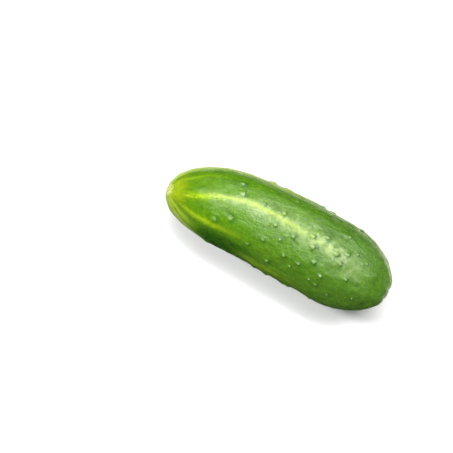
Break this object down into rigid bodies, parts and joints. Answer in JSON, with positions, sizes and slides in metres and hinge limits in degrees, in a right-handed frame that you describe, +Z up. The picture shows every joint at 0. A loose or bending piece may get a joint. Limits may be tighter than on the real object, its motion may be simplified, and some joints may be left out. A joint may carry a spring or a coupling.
{
  "type": "cucumber",
  "caption": "Whole pickling cucumber, stout and slightly bowed, with scattered warts, a narrow blossom end and a blunt stem end, lying on its belly.",
  "frame": {"origin": "middle of the footprint, on the surface the cucumber lies on", "axes": "+X from the blossom end to the stem end, +Y the outside of its bow, +Z up"},
  "size_m": [0.1176, 0.0432, 0.0412],
  "materials": {
    "skin": "green cucumber skin with a soft waxy shine, yellow-green at the blossom end with pale streaks running out of it"
  },
  "bodies": {
    "root": {"cucumber": "skin"}
  },
  "joints": []
}
